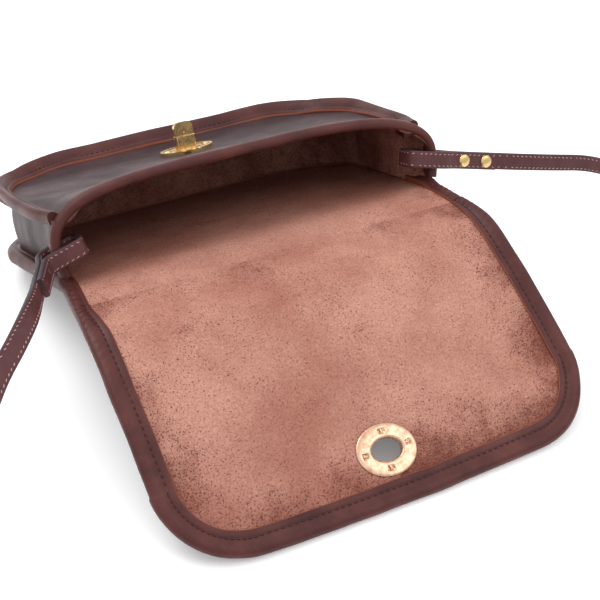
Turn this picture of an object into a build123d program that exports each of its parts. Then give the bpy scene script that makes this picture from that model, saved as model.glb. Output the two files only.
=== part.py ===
from build123d import *
import math
import os

os.makedirs("parts", exist_ok=True)

# Millimetres and degrees. The purse lies open on its back: +X is its width, the
# body runs towards +Y, the flap towards -Y, and Z is up from the surface below.

# Leather
leather = 2.0             # sheet of the panels and the gusset
wrap = 1.3                # strip folded round every edge
binding_width = 9.0       # how far the folded strip reaches in from the edge
flap_binding_width = 12.0

# Body
mouth_width = 216.0
bottom_width = 239.0
body_height = 142.0       # from the top fold to the bottom seam
body_corner = 52.0
mouth_arch = 42.7         # under the front panel at the middle of the mouth
mouth_side = 29.0         # the same at the mouth's ends
lock_depth = 32.0         # the same round the turn lock
bottom_depth = 35.7       # the same at the bottom seam
arch_end = 60.0           # where the arched mouth has run out
rise_start = 128.0        # where the panel starts to rise to the bottom seam
mouth_setback = 3.5       # from the top fold to the mouth's rim
body_tilt = 21.9          # the body rises this much towards the mouth

# Flap
spine_length = 46.0       # the strip between the two folds
spine_tilt = 7.5
spine_flare = 3.0         # each side, from the top fold to the front fold
flap_length = 124.3
flap_width = 225.0
flap_corner = 40.0
flap_crown = 1.6          # how much the flap's end bows out
fold_clearance = 0.1      # between the sheets at each fold, in the tightest place
close_drop = 6.0          # how much the closed flap slopes to the lock
top_fold_gap = 1.0        # from the top fold line to the sheets on each side

# Turn lock and its eyelet
lock_plate = (32.0, 21.0)
lock_plate_thickness = 1.2
lock_rim = (1.6, 0.5)     # width and height of the plate's raised edge
lock_washer = (28.0, 17.0)
washer_thickness = 0.8
post_block = (11.5, 6.5, 7.5)
tab = (11.5, 3.0, 8.0)
tab_corner = 3.6
stem_radius = 2.0
running_gap = 0.06        # stem in its bores, on the radius
turning_gap = 0.25        # between faces that turn past each other
lock_rivet_spacing = 24.0
lock_rivet_radius = 1.0
lock_rivet_head = (2.2, 0.8)
eyelet_plate = (30.4, 25.0)
eyelet_opening = (16.0, 11.6)
eyelet_thickness = 1.0
eyelet_collar = 0.7
eyelet_from_end = 26.0
prong = (3.0, 0.6, 1.8)   # width, thickness and bent length
prong_angles = (0, 85, 180, 260)

# Strap
strap_width = 9.5
strap_thickness = 2.8
strap_height = 15.8       # strap's middle over the back panel, where it rounds the rim
strap_dip = 15.0          # how much each strap end slopes down, away from the bag
rim_gap = 0.3
fold_room = 3.2           # inside the bag, from the rim to the turned strap
layer_gap = 0.1
slit_gap = 1.0
rivet_post_radius = 1.2
rivet_cap = (3.5, 1.2)
rivet_pitch = 14.5
left_lean = 20.0          # the left end runs forward, leaning out by this much
left_turn = 12.8          # from the gusset's wall to where it turns forward
right_turn = 15.0         # the right end runs outward, and its layers close up from here
right_lap_start = 24.0
left_lap, right_lap = 30.0, 28.0     # length of the lap that the two rivets hold
lap_to_run = 6.0          # the strap ends stop this far past their laps

half_mouth = mouth_width / 2
half_bottom = bottom_width / 2
sheet_bottom = -leather - wrap
reach = half_bottom + 12.0
tall = mouth_arch + 25.0
rivet_shank = 2 * strap_thickness + layer_gap

# ---- the rest pose: the body tilts down from the top fold, and the flap's end and the
# body's bottom seam both touch the surface. Fold lines lie fold_lift over the inner face.
fold_lift = wrap + fold_clearance
under_fold = fold_lift - sheet_bottom
sin_body, cos_body = math.sin(math.radians(body_tilt)), math.cos(math.radians(body_tilt))
top_fold_z = body_height * sin_body + under_fold * cos_body
front_fold_y = -spine_length * math.cos(math.radians(spine_tilt))
front_fold_z = top_fold_z + spine_length * math.sin(math.radians(spine_tilt))
flap_reach = math.hypot(flap_length, under_fold)
flap_tilt = math.degrees(math.asin(front_fold_z / flap_reach) - math.atan2(under_fold, flap_length))
front_fold_gap = fold_clearance + under_fold * math.tan(math.radians((flap_tilt + spine_tilt) / 2))


def half_width(y):
    """Half the body's outline at a distance from the top fold."""
    return half_mouth + (half_bottom - half_mouth) * y / body_height


def body_outline(inset, start):
    """The body's outline, drawn in by inset, as a flat face open to no side."""
    end = body_height - inset
    near, far = half_width(start) - inset, half_width(end) - inset
    face = make_face(Polyline((-near, start), (near, start), (far, end), (-far, end), close=True))
    return fillet(face.vertices().sort_by(Axis.Y)[-2:], body_corner - inset)


def slab(face, low, high):
    return Pos(0, 0, low) * extrude(face, amount=high - low)


def body_band(outer, inner, start, low, high):
    """A strip that follows the body's outline, open at the mouth."""
    return slab(body_outline(outer, start) - body_outline(inner, start), low, high)


def section(y, side, middle):
    """One cross-section of the room under the front panel, arched or level on top."""
    plane = Plane(origin=(0, y, 0), x_dir=(1, 0, 0), z_dir=(0, -1, 0))
    floor_z = -20.0
    if middle > side:
        rise = middle - side
        radius = (half_mouth**2 + rise**2) / (2 * rise)
        edge_z = middle - radius + math.sqrt(radius**2 - reach**2)
        top = ThreePointArc((-reach, edge_z), (0, middle), (reach, edge_z))
    else:
        edge_z = middle
        top = Line((-reach, edge_z), (reach, edge_z))
    rest = Polyline((reach, edge_z), (reach, floor_z), (-reach, floor_z), (-reach, edge_z))
    return plane * make_face(top + rest)


def room(lift):
    """The space under the front panel, its top raised by lift."""
    arch = (mouth_side + lift, mouth_arch + lift)
    level = (lock_depth + lift, lock_depth + lift)
    bottom = (bottom_depth + lift, bottom_depth + lift)
    stations = [
        section(-10.0, *arch),
        section(mouth_setback + binding_width, *arch),
        section(arch_end, *level),
        section(rise_start, *level),
        section(body_height + 5.0, *bottom),
    ]
    return loft(stations, ruled=True)


def oval(size):
    return Ellipse(size[0] / 2, size[1] / 2)


def disc(radius, low, high):
    return slab(Circle(radius), low, high)


# ---- body: panels, gusset and the strips sewn round their edges
rim_start = mouth_setback + wrap
wall_out = binding_width
wall_in = binding_width + leather
lock_y = (flap_length - eyelet_from_end) * math.cos(math.radians(close_drop))
lock_place = Pos(0, lock_y, lock_depth + leather)
rivet_places = [Pos(side * lock_rivet_spacing / 2, 0, 0) for side in (-1, 1)]
room_inside = room(0)

panel_holes = disc(stem_radius + 0.6, -leather - 1, 1)
for place in rivet_places:
    panel_holes += place * disc(lock_rivet_radius, -leather - 1, 1)
back_panel = slab(body_outline(wrap, top_fold_gap), -leather, 0)
front_panel = (room(leather) - room_inside) & slab(body_outline(wrap, rim_start), 0, tall)
front_panel -= lock_place * panel_holes

gusset = body_band(wall_out, wall_in, rim_start, 0, tall) & room_inside
gusset += body_band(wrap, wall_in, rim_start, 0, leather)
gusset += body_band(wrap, wall_in, rim_start, 0, tall) & (room_inside - room(-leather))

binding_start = mouth_setback + binding_width
front_binding = body_band(0, binding_width, binding_start, 0, tall)
front_binding &= room(leather + wrap) - room(-leather - wrap)
front_binding -= front_panel + gusset
back_binding = body_band(0, binding_width, top_fold_gap, sheet_bottom, leather + wrap)
back_binding -= back_panel + gusset

rim_zone = Box(2 * reach, binding_width, 2 * tall, align=(Align.CENTER, Align.MIN, Align.CENTER))
rim_zone = Pos(0, mouth_setback, 0) * rim_zone
over_front = slab(body_outline(0, mouth_setback), 0, tall) & (room(leather + wrap) - room(-wrap))
over_side = body_band(wall_out - wrap, wall_in + wrap, mouth_setback, leather + wrap, tall)
over_side &= room(leather)
over_seam = body_band(0, wall_in, mouth_setback, leather + wrap, tall)
over_seam &= room(leather + wrap) - room(-leather - wrap)
mouth_binding = (over_front + over_side + over_seam) & rim_zone
mouth_binding -= front_panel + gusset

# ---- turn lock: what is fixed to the front panel, and what turns in it
plate_top = lock_plate_thickness
stem_bore = stem_radius + running_gap
lock_base = slab(oval(lock_plate), 0, plate_top)
inner_oval = (lock_plate[0] - 2 * lock_rim[0], lock_plate[1] - 2 * lock_rim[0])
lock_base += slab(oval(lock_plate) - oval(inner_oval), plate_top, plate_top + lock_rim[1])
lock_base -= disc(stem_bore, -1, plate_top + 1)
lock_back_washer = slab(oval(lock_washer), -leather - washer_thickness, -leather)
lock_back_washer -= disc(stem_bore, -leather - 2, -leather + 1)
head_radius, head_height = lock_rivet_head
lock_rivets = []
for place in rivet_places:
    hole = place * disc(lock_rivet_radius, -leather - 2, plate_top + 1)
    lock_base -= hole
    lock_back_washer -= hole
    shank = disc(lock_rivet_radius, -leather - washer_thickness, plate_top)
    head = fillet(disc(head_radius, plate_top, plate_top + head_height).edges().sort_by(Axis.Z)[-1], 0.6)
    lock_rivets.append(place * (shank + head))
lock_post = Pos(0, 0, plate_top) * Box(*post_block, align=(Align.CENTER, Align.CENTER, Align.MIN))
lock_post = fillet(lock_post.edges().filter_by(Axis.Z), 1.0)
post_top = plate_top + post_block[2]
lock_post -= disc(stem_bore, plate_top - 1, post_top + 1)

ring_top = -leather - washer_thickness - turning_gap
stem_groove = disc(stem_radius, ring_top - 1.0, ring_top) - disc(stem_radius - 0.5, ring_top - 1.0, ring_top)
tab_bottom = post_top + turning_gap
stem_reach = 3.0
lock_stem = disc(stem_radius, ring_top - 1.5, tab_bottom) - stem_groove
lock_stem += disc(1.0, tab_bottom, tab_bottom + stem_reach)
lock_retaining_ring = disc(stem_radius + 1.4, ring_top - 1.0, ring_top) - disc(stem_radius - 0.5, -9, 9)
lock_tab = Pos(0, 0, tab_bottom) * Box(*tab, align=(Align.CENTER, Align.CENTER, Align.MIN))
tab_ends = lock_tab.edges().filter_by(Axis.Y).sort_by(Axis.Z)[-2:]
lock_tab = fillet(tab_ends, tab_corner)
lock_tab -= disc(1.0, tab_bottom - 1, tab_bottom + stem_reach)
pin_z = tab_bottom + stem_reach / 2
cross_pin = Pos(0, 0, pin_z) * Rot(90, 0, 0) * Cylinder(0.6, tab[1] + 1.0)
lock_tab -= cross_pin
lock_stem -= cross_pin

# ---- flap: the spine between the folds, the front, and the eyelet
spine_start, spine_end = -top_fold_gap, -spine_length + front_fold_gap


def spine_half(y):
    return half_mouth + spine_flare * -y / spine_length


def spine_face(inset):
    near, far = spine_half(spine_start) - inset, spine_half(spine_end) - inset
    points = [(-near, spine_start), (near, spine_start), (far, spine_end), (-far, spine_end)]
    return make_face(Polyline(*points, close=True))


spine_panel = slab(spine_face(wrap), -leather, 0)
spine_strips = slab(spine_face(0) - spine_face(flap_binding_width), sheet_bottom, wrap) - spine_panel
spine_strips = spine_strips.solids().sort_by(Axis.X)


def flap_face(inset):
    """The flap's front outline, drawn in by inset: straight sides, big corners, bowed end."""
    near, far = spine_half(-spine_length) - inset, flap_width / 2 - inset
    start, end = -front_fold_gap, -flap_length + inset
    side_end = end + flap_crown
    sides = Polyline((-far, side_end), (-near, start), (near, start), (far, side_end))
    face = make_face(sides + ThreePointArc((far, side_end), (0, end), (-far, side_end)))
    return fillet(face.vertices().sort_by(Axis.Y)[:2], flap_corner - inset)


eyelet_place = Pos(0, -(flap_length - eyelet_from_end), 0)
collar_size = (eyelet_opening[0] + 2 * eyelet_collar, eyelet_opening[1] + 2 * eyelet_collar)
face_bottom = -leather - eyelet_thickness
backing_top = washer_thickness
eyelet_face = slab(oval(eyelet_plate), face_bottom, -leather)
eyelet_face += slab(oval(collar_size), -leather, backing_top)
eyelet_face -= slab(oval(eyelet_opening), face_bottom - 1, backing_top + 1)
eyelet_backing = slab(oval(eyelet_plate) - oval(collar_size), 0, backing_top)
flap_hole = slab(oval(collar_size), -leather, 0)
prong_mid = 0.5 * (eyelet_plate[1] + collar_size[1]) / 2
for angle in prong_angles:
    stretch = eyelet_plate[0] / eyelet_plate[1] if angle in (0, 180) else 1.0
    spot = Rot(0, 0, angle) * Pos(prong_mid * stretch, 0, 0)
    leg = spot * Box(prong[1], prong[0], leather + backing_top, align=(Align.MAX, Align.CENTER, Align.MIN))
    leg = Pos(0, 0, -leather) * leg
    bent = spot * Box(prong[2], prong[0], prong[1], align=(Align.MAX, Align.CENTER, Align.MIN))
    window = spot * Box(prong[2], prong[0], backing_top, align=(Align.MAX, Align.CENTER, Align.MIN))
    eyelet_backing -= window
    flap_hole += leg & slab(oval(eyelet_plate), -leather, 0)
    eyelet_face += leg + Pos(0, 0, backing_top - prong[1]) * bent
flap_panel = slab(flap_face(wrap), -leather, 0) - eyelet_place * flap_hole
flap_binding = slab(flap_face(0) - flap_face(flap_binding_width), sheet_bottom, wrap) - flap_panel

# ---- strap ends: each goes through a slit, rounds the rim, and is riveted to itself.
# Across the strap, u is the distance out from the gusset's wall and v is along the body.
rim_half = leather / 2 + wrap
rim_v = mouth_setback + binding_width / 2
front_v = mouth_setback - rim_gap - strap_thickness / 2
slit_v = mouth_setback + binding_width + rim_gap + slit_gap + strap_thickness / 2
fold_u = -(rim_half + fold_room + strap_thickness / 2)
layers = strap_thickness + layer_gap
double_v = front_v + 3.6

lap_end = right_lap_start + right_lap
right_route = [
    (lap_end + lap_to_run, double_v + layers), (right_lap_start, double_v + layers),
    (right_turn, slit_v), (fold_u, slit_v), (fold_u, front_v), (right_turn, front_v),
    (right_lap_start, double_v), (lap_end, double_v),
]
right_radii = [8.0, 10.0, 4.0, 4.0, 12.0, 12.0]
right_rivets = [(right_lap_start + rivet_pitch * count, double_v, 0.0) for count in (0.45, 1.45)]
sin_lean, cos_lean = math.sin(math.radians(left_lean)), math.cos(math.radians(left_lean))


def left_leg(along, across):
    """A point of the left end's forward leg, measured from where it turns forward."""
    u = left_turn + along * sin_lean + across * cos_lean
    return u, front_v - along * cos_lean + across * sin_lean


left_route = [
    left_leg(left_lap + lap_to_run, layers), left_leg(2.0, layers), (left_turn, slit_v),
    (fold_u, slit_v), (fold_u, front_v), (left_turn, front_v), left_leg(left_lap, 0),
]
left_radii = [10.0, 6.0, 4.0, 4.0, 4.0]
left_rivets = [(*left_leg(rivet_pitch * count, 0), 90.0 - left_lean) for count in (0.64, 1.64)]


def strap_end(route, radii, rivets):
    """The folded strap end, its rivet posts and its caps, in the strap's own plane."""
    path = FilletPolyline(*route, radius=radii)
    face = Sketch() + trace(path, line_width=strap_thickness)
    band = slab(face, -strap_width / 2, strap_width / 2)
    posts, caps = [], []
    for u, v, turn in rivets:
        spot = Pos(u, v, 0) * Rot(0, 0, -turn) * Pos(0, layers / 2, 0) * Rot(90, 0, 0)
        post = spot * Cylinder(rivet_post_radius, rivet_shank)
        cap_radius, cap_height = rivet_cap
        cap = disc(cap_radius, rivet_shank / 2, rivet_shank / 2 + cap_height)
        cap = fillet(cap.edges().sort_by(Axis.Z)[-1], 0.7 * cap_height)
        band -= post
        posts.append(post + spot * Rot(180, 0, 0) * cap)
        caps.append(spot * cap)
    return band, posts, caps


def rim_x(side):
    return side * (half_width(rim_v) - binding_width - leather / 2)


slit = Pos(0, slit_v, 0) * Box(14.0, strap_thickness + 2 * slit_gap, strap_width + 2 * slit_gap)
right_place = Pos(rim_x(1), 0, strap_height) * Rot(0, strap_dip, 0)
left_place = Pos(rim_x(-1), 0, strap_height) * Rot(0, -strap_dip, 0)
gusset -= right_place * slit + left_place * slit
right_band, right_posts, right_caps = strap_end(right_route, right_radii, right_rivets)
left_band, left_posts, left_caps = strap_end(left_route, left_radii, left_rivets)


def flipped(shape):
    return mirror(shape, about=Plane.YZ)


# ---- where each group stands
in_body = Pos(0, 0, top_fold_z) * Rot(-body_tilt, 0, 0) * Pos(0, 0, -fold_lift)
in_spine = Pos(0, 0, top_fold_z) * Rot(-spine_tilt, 0, 0) * Pos(0, 0, -fold_lift)
in_flap = Pos(0, front_fold_y, front_fold_z) * Rot(flap_tilt, 0, 0) * Pos(0, 0, -fold_lift)

bag = {
    "back_panel": in_body * back_panel,
    "front_panel": in_body * front_panel,
    "gusset": in_body * gusset,
    "front_seam_binding": in_body * front_binding,
    "back_seam_binding": in_body * back_binding,
    "mouth_binding": in_body * mouth_binding,
    "lock_base_plate": in_body * lock_place * lock_base,
    "lock_back_washer": in_body * lock_place * lock_back_washer,
    "lock_rivets": [in_body * lock_place * rivet for rivet in lock_rivets],
    "lock_post": in_body * lock_place * lock_post,
    "lock_stem": in_body * lock_place * lock_stem,
    "lock_retaining_ring": in_body * lock_place * lock_retaining_ring,
    "lock_tab": in_body * lock_place * lock_tab,
    "lock_tab_pin": in_body * lock_place * cross_pin,
    "spine_panel": in_spine * spine_panel,
    "spine_binding_left": in_spine * spine_strips[0],
    "spine_binding_right": in_spine * spine_strips[-1],
    "flap_panel": in_flap * flap_panel,
    "flap_binding": in_flap * flap_binding,
    "eyelet_face_plate": in_flap * eyelet_place * eyelet_face,
    "eyelet_backing_plate": in_flap * eyelet_place * eyelet_backing,
}
strap = {
    "strap_end_right": in_body * right_place * right_band,
    "strap_rivets_right": [in_body * right_place * post for post in right_posts],
    "strap_rivet_caps_right": [in_body * right_place * cap for cap in right_caps],
    "strap_end_left": in_body * left_place * flipped(left_band),
    "strap_rivets_left": [in_body * left_place * flipped(post) for post in left_posts],
    "strap_rivet_caps_left": [in_body * left_place * flipped(cap) for cap in left_caps],
}

# The origin is under the middle of the bag, on the surface it lies on.
extent = Compound([Compound(shape) if isinstance(shape, list) else Compound([shape])
                   for shape in bag.values()]).bounding_box()
shift_y = -(extent.min.Y + extent.max.Y) / 2
to_origin = Pos(0, shift_y, -extent.min.Z)

# ---- the strap between its two ends, on its edge, as a route chosen by hand
ends = {}
for name, place, route, side in (("right", right_place, right_route, 1), ("left", left_place, left_route, -1)):
    spots = [to_origin * in_body * place * Pos(side * u, v, 0) for u, v in route[:2]]
    end, before = [spot.position for spot in spots]
    ends[name] = (end, (end - before).normalized())

left_end, left_heading = ends["left"]
right_end, right_heading = ends["right"]
lead = 28.0
low = strap_width / 2 + 0.15
strap_points = [
    (-168, -86, 77), (-194, -138, 52), (-198, -196, 26), (-178, -250, 10), (-126, -289, low),
    (-58, -306, low), (12, -312, low), (82, -310, low), (148, -292, low), (204, -254, low),
    (244, -198, low), (268, -136, low), (272, -76, 5.8), (256, -20, 14), (226, 8, 30),
]
route = [left_end, left_end + left_heading * lead]
route += [Vector(*point) for point in strap_points]
route += [right_end + right_heading * lead, right_end]

radii = []
for before, corner, after in zip(route, route[1:], route[2:]):
    turn = math.radians((corner - before).get_angle(after - corner))
    shorter = min((corner - before).length, (after - corner).length)
    radii.append(0.45 * shorter / math.tan(turn / 2))
strap_path = FilletPolyline(*route, radius=radii)
strap_section = Plane(origin=strap_path @ 0, x_dir=(0, 0, 1), z_dir=strap_path % 0)
strap_guide = Wire((Pos(0, 0, 5 * strap_width) * strap_path).edges())
strap_run = sweep(strap_section * Rectangle(strap_width, strap_thickness), strap_path, binormal=strap_guide)
print("strap radii", [round(radius) for radius in radii], "length", round(strap_path.length, 1))
print("strap section", round(strap_run.volume / strap_path.length, 2))

for name, shape in {**bag, **strap}.items():
    solids = shape if isinstance(shape, list) else shape.solids()
    solids = [to_origin * solid for solid in solids]
    export_step(Compound(solids) if len(solids) > 1 else solids[0], f"parts/{name}.step")
strap_ends = [to_origin * strap[name] for name in ("strap_end_left", "strap_end_right")]
strap_run -= Compound(strap_ends)
export_step(strap_run, "parts/strap_run.step")

print("top fold", round(shift_y, 4), round(top_fold_z - extent.min.Z, 4))
print("front fold", round(front_fold_y + shift_y, 4), round(front_fold_z - extent.min.Z, 4))
print("closing", round(90 + body_tilt - spine_tilt, 2), round(90 + close_drop + flap_tilt + spine_tilt, 2))
print("lock", to_origin * in_body * lock_place)
print("strap ends", left_end, left_heading, right_end, right_heading)
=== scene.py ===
import math

import bpy
import numpy as np
from mathutils import Matrix


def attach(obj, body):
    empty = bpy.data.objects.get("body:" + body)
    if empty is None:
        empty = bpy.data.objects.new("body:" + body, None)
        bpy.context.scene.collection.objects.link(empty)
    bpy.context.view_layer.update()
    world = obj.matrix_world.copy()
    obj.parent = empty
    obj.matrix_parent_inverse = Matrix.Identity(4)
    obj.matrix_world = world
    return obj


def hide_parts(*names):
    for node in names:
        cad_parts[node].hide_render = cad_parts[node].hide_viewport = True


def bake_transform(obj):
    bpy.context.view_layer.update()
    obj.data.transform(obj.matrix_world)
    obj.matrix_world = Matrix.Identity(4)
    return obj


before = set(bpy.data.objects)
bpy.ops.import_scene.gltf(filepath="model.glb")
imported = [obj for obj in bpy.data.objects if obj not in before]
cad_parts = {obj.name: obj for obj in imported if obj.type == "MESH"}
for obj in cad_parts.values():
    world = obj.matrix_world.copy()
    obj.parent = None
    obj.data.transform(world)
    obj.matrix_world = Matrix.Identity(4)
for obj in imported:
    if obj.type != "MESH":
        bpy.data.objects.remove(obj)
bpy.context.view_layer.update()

# ---- Camera, floor and light
# The open purse lies on a white table top and is seen from its front left corner. One large
# soft light hangs behind it on the left, and the room is bright overhead, dimmer at eye level.
camera = bpy.data.objects.new("camera", bpy.data.cameras.new("camera"))
bpy.context.scene.collection.objects.link(camera)
camera.matrix_world = (
    Matrix.Translation((-0.2108, -0.4573, 0.4048))
    @ Matrix.Rotation(math.radians(-26.79), 4, "Z")
    @ Matrix.Rotation(math.radians(90 - 37.76), 4, "X")
    @ Matrix.Rotation(math.radians(0.22), 4, "Z")
)
camera.data.sensor_width = 36.0
camera.data.lens = 70.9
camera.data.clip_start = 0.01
bpy.context.scene.camera = camera
bpy.context.scene.view_settings.view_transform = "Standard"


def linear(red, green, blue):
    """A colour on the 0 to 255 scale as the renderer's linear one: the usual screen curve undone."""
    share = np.array([red, green, blue]) / 255
    low = share / 12.92
    high = ((share + 0.055) / 1.055) ** 2.4
    return (*np.where(share < 0.04045, low, high).tolist(), 1.0)


def add_node(tree, kind, values={}, **settings):
    """A shader node with its settings; each input gets a plain value or a link from another socket."""
    made = tree.nodes.new(kind if kind.startswith("NodeGroup") else "ShaderNode" + kind)
    for key, value in settings.items():
        setattr(made, key, value)
    for key, value in values.items():
        if isinstance(value, bpy.types.NodeSocket):
            tree.links.new(value, made.inputs[key])
        else:
            made.inputs[key].default_value = value
    return made


def new_material(name):
    """An empty material: its node tree and its surface shader."""
    material = bpy.data.materials.new(name)
    material.use_nodes = True
    return material, material.node_tree, material.node_tree.nodes["Principled BSDF"]


table_white, tree, shader = new_material("table_white")
shader.inputs["Base Color"].default_value = (0.96, 0.965, 0.97, 1)
shader.inputs["Roughness"].default_value = 0.9
shader.inputs["Specular IOR Level"].default_value = 0.1
shader.inputs["Emission Color"].default_value = (1, 1, 1, 1)
shader.inputs["Emission Strength"].default_value = 0.12
table = bpy.data.meshes.new("table_top")
table.from_pydata([(-1.2, -1.2, 0), (1.2, -1.2, 0), (1.2, 0.8, 0), (-1.2, 0.8, 0)], [], [(0, 1, 2, 3)])
table.materials.append(table_white)
table_top = bpy.data.objects.new("table_top", table)
bpy.context.scene.collection.objects.link(table_top)

world = bpy.data.worlds.new("room")
bpy.context.scene.world = world
world.use_nodes = True
world.node_tree.nodes["Background"].inputs["Color"].default_value = (1, 1, 1, 1)
sky = add_node(world.node_tree, "TexCoord").outputs["Generated"]
rise = add_node(world.node_tree, "SeparateXYZ", {"Vector": sky}).outputs["Z"]
bright = add_node(
    world.node_tree, "MapRange",
    {"Value": rise, "From Min": 0.1, "From Max": 0.6, "To Min": 0.65, "To Max": 1.2},
)
world.node_tree.links.new(bright.outputs[0], world.node_tree.nodes["Background"].inputs["Strength"])


def soft_light(name, place, aim, size, power):
    """A square area light that faces the point it is aimed at."""
    light = bpy.data.lights.new(name, "AREA")
    light.size = size
    light.energy = power
    lamp = bpy.data.objects.new(name, light)
    towards = Matrix.Translation(aim).translation - Matrix.Translation(place).translation
    lamp.matrix_world = Matrix.Translation(place) @ towards.to_track_quat("-Z", "Y").to_matrix().to_4x4()
    bpy.context.scene.collection.objects.link(lamp)


soft_light("window", (-0.5, 0.7, 1.5), (0, 0, 0), 1.1, 13)
soft_light("fill", (0.9, -0.9, 1.3), (0, 0, 0), 1.2, 5)

# ---- Strap between its two ends
# A long narrow strip of firm leather, stitched along both edges. It is one metre of
# strap that lies on its edge in a wide loop in front of the flap, and joins both ends.
strap_width, strap_thickness = 9.5e-3, 2.8e-3
strap_route = [
    (-0.125537, -0.021392, 0.075577), (-0.134787, -0.046729, 0.083091), (-0.168, -0.086, 0.077),
    (-0.194, -0.138, 0.052), (-0.198, -0.196, 0.026), (-0.178, -0.250, 0.010),
    (-0.126, -0.289, 0.0049), (-0.058, -0.306, 0.0049), (0.012, -0.312, 0.0049),
    (0.082, -0.310, 0.0049), (0.148, -0.292, 0.0049), (0.204, -0.254, 0.0049),
    (0.244, -0.198, 0.0049), (0.268, -0.136, 0.0049), (0.272, -0.076, 0.0058),
    (0.258, -0.016, 0.018), (0.229, 0.010, 0.034), (0.18172, 0.00949, 0.04694),
    (0.154672, 0.012195, 0.053662),
]
body_tilt = math.radians(21.9)
top_fold = np.array([0.0, 4.7219, 57.3251])
front_fold = np.array([0.0, -40.8845, 63.3293])
fold_lift = 1.4


def stacked(*columns):
    """Columns of numbers, made as long as each other, side by side."""
    return np.stack(np.broadcast_arrays(*columns), -1).astype(float)


def body_point(x, y, z):
    """Metres in the frame from millimetres on the bag's body: x across, y from the top fold
    down the back, z up from the suede. The body is turned by its tilt about the top fold."""
    up = np.asarray(z, float) - fold_lift
    level = np.asarray(y, float) * math.cos(body_tilt) + up * math.sin(body_tilt)
    height = up * math.cos(body_tilt) - np.asarray(y, float) * math.sin(body_tilt)
    return stacked(x, level + top_fold[1], height + top_fold[2]) * 1e-3


def body_direction(x, y, z):
    """A direction on the bag's body, turned by its tilt."""
    return body_point(x, y, z) * 1e3 - body_point(0, 0, 0) * 1e3


def spline_points(control):
    """Points along the smooth curve that a row of control points pulls: a quadratic NURBS curve
    that starts and ends on its outer control points, read from Blender's own evaluation."""
    curve = bpy.data.curves.new("guide", "CURVE")
    curve.dimensions = "3D"
    spline = curve.splines.new("NURBS")
    spline.points.add(len(control) - 1)
    weights = np.ones((len(control), 1))
    spline.points.foreach_set("co", np.hstack([control, weights]).ravel())
    spline.order_u = 3
    spline.use_endpoint_u = True
    curve.resolution_u = 16
    guide = bpy.data.objects.new("guide", curve)
    read = bpy.data.meshes.new_from_object(guide)
    points = np.empty(len(read.vertices) * 3)
    read.vertices.foreach_get("co", points)
    bpy.data.objects.remove(guide)
    bpy.data.curves.remove(curve)
    bpy.data.meshes.remove(read)
    return points.reshape(-1, 3)


def distance_along(points):
    """How far each point of a path is from its start."""
    return np.concatenate([[0.0], np.cumsum(np.linalg.norm(np.diff(points, axis=0), axis=1))])


def spaced(points, step):
    """A path read off again at equal distances, about one step apart."""
    far = distance_along(points)
    at = np.linspace(0, far[-1], int(round(far[-1] / step)) + 1)
    return np.stack([np.interp(at, far, points[:, axis]) for axis in range(points.shape[1])], 1)


def unit(vectors):
    """Each vector divided by its length."""
    return vectors / np.linalg.norm(vectors, axis=-1, keepdims=True)


def smooth_step(share):
    """0 below 0, 1 above 1, and 3t^2 - 2t^3 between."""
    share = np.clip(share, 0, 1)
    return share * share * (3 - 2 * share)


def wander(at, length, seed):
    """A gentle uneven wave from about -1 to 1: four sines, of lengths near the one given, added up."""
    phases = np.random.default_rng(seed).uniform(0, 2 * math.pi, 4)
    rates = np.array([0.61, 1.0, 1.43, 2.17]) * 2 * math.pi / length
    return (np.sin(np.asarray(at)[..., None] * rates + phases) * [0.4, 0.35, 0.2, 0.12]).sum(-1)


def quads(rows, columns, round_rows=False, round_columns=False):
    """Corner numbers of the four-sided faces between neighbours in a grid of points."""
    index = np.arange(rows * columns).reshape(rows, columns)
    index = np.vstack([index, index[:1]]) if round_rows else index
    index = np.hstack([index, index[:, :1]]) if round_columns else index
    return np.stack([index[:-1, :-1], index[1:, :-1], index[1:, 1:], index[:-1, 1:]], -1).reshape(-1, 4)


def new_piece(name, points, faces, materials, caps=(), marks={}, which=None, crease=40):
    """A mesh from points, faces and end caps. The faces are turned over if the volume they
    enclose, the sum of the tetrahedra from their middle, comes out negative."""
    points = np.asarray(points, float).reshape(-1, 3)
    about = points - points.mean(0)
    first, second, third, last = (about[faces[:, corner]] for corner in (0, 1, 2, -1))
    volume = (first * (np.cross(second, third) + np.cross(third, last))).sum()
    turn = slice(None, None, -1 if volume < 0 else 1)
    mesh = bpy.data.meshes.new(name)
    every = faces[:, turn].tolist() + [list(cap)[turn] for cap in caps]
    mesh.from_pydata(points.tolist(), [], every)
    for key, values in marks.items():
        mesh.attributes.new(key, "FLOAT", "POINT").data.foreach_set(
            "value", np.ravel(values).astype(np.float32)
        )
    for material in materials:
        mesh.materials.append(material)
    if which is not None:
        mesh.polygons.foreach_set(
            "material_index", np.concatenate([which, np.full(len(caps), which[0])]).astype(np.int32)
        )
    mesh.polygons.foreach_set("use_smooth", np.ones(len(every), bool))
    mesh.set_sharp_from_angle(angle=math.radians(crease))
    piece = bpy.data.objects.new(name, mesh)
    bpy.context.scene.collection.objects.link(piece)
    return piece


def carried(name, rows, materials, marks={}, crease=40):
    """A closed profile carried along a path: a grid with one row for each place on the path,
    joined round each row and capped at both ends."""
    count, around = rows.shape[:2]
    index = np.arange(count * around).reshape(count, around)
    caps = (index[0].tolist(), index[-1, ::-1].tolist())
    return new_piece(
        name, rows, quads(count, around, round_columns=True), materials, caps, marks, crease=crease
    )


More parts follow.
